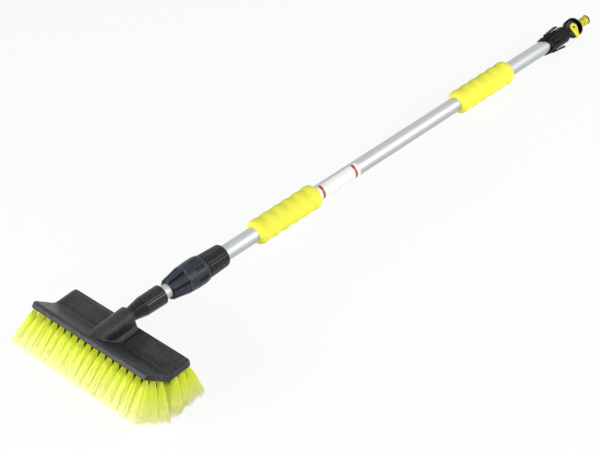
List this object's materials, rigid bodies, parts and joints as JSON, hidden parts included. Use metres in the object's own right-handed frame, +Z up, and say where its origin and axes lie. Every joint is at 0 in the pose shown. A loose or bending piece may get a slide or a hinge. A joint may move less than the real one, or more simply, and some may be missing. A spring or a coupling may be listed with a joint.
{
  "type": "car wash brush",
  "caption": "Car wash brush: stepped block with slanted bristle rows on a telescopic water-fed pole with twist lock, foam grips, shut-off valve and hose plug.",
  "frame": {"origin": "on the floor, under the middle of the whole brush's bounding box, with the brush resting on its bristle tips and on the valve at the hose end of the pole", "axes": "+X along the brush block, +Y from the brush block to the hose end of the pole, +Z up"},
  "size_m": [0.2832, 1.1912, 0.1032],
  "materials": {
    "block_black": "matte",
    "gloss_black": "gloss",
    "blue_grey": "satin",
    "aluminium": "satin",
    "yellow_foam": "matte",
    "yellow_plastic": "gloss",
    "bristle": "satin",
    "black_rubber": "matte",
    "white_plastic": "satin",
    "brass": "polished",
    "steel": "satin"
  },
  "bodies": {
    "handle": {"outer_tube": "aluminium", "lock_sleeve": "block_black", "lower_grip": "yellow_foam", "upper_grip": "yellow_foam", "end_cap": "block_black", "tube_seal": "black_rubber", "valve_body": "gloss_black", "ball_seat_inlet": "white_plastic", "ball_seat_outlet": "white_plastic", "stem_ring": "black_rubber", "hose_nipple": "yellow_plastic", "nipple_seal": "black_rubber", "nipple_ring": "black_rubber"},
    "slider": {"piston_ring_front": "black_rubber", "piston_ring_rear": "black_rubber"},
    "pole_head": {"inner_tube": "aluminium", "guide_piston": "block_black", "head_connector": "gloss_black", "socket_washer": "black_rubber", "brush_block": "block_black", "bristles_front_1": "bristle", "bristles_front_2": "bristle", "bristles_front_3": "bristle", "bristles_rear_1": "bristle", "bristles_rear_2": "bristle", "bristles_rear_3": "bristle"},
    "clamp": {"clamp_ring": "white_plastic"},
    "lock": {"lock_nut": "blue_grey"},
    "valve": {"valve_lever": "yellow_plastic", "valve_stem": "brass", "valve_ball": "brass", "lever_screw": "steel"}
  },
  "joints": [
    {"name": "telescope", "type": "slide", "parent": "handle", "child": "slider", "axis": [0, -0.9976, 0.0692], "range_m": [-0.01, 0.6]},
    {"name": "pole_turn", "type": "hinge", "parent": "slider", "child": "pole_head", "pos_m": [0, -0.4674, 0.087], "axis": [0, -0.9976, 0.0692], "continuous": true},
    {"name": "clamp_slide", "type": "slide", "parent": "handle", "child": "clamp", "axis": [0, -0.9976, 0.0692], "range_m": [0, 0.002]},
    {"name": "nut_turn", "type": "hinge", "parent": "clamp", "child": "lock", "pos_m": [0, -0.4674, 0.087], "axis": [0, -0.9976, 0.0692], "range_deg": [0, 180]},
    {"name": "valve_turn", "type": "hinge", "parent": "handle", "child": "valve", "pos_m": [0, 0.54955, 0.01647], "axis": [-0.682, -0.0506, -0.7296], "range_deg": [0, 79]}
  ],
  "couplings": [
    {"joint": "clamp_slide", "follows": "nut_turn", "m_per_rad": 0.00063661}
  ]
}
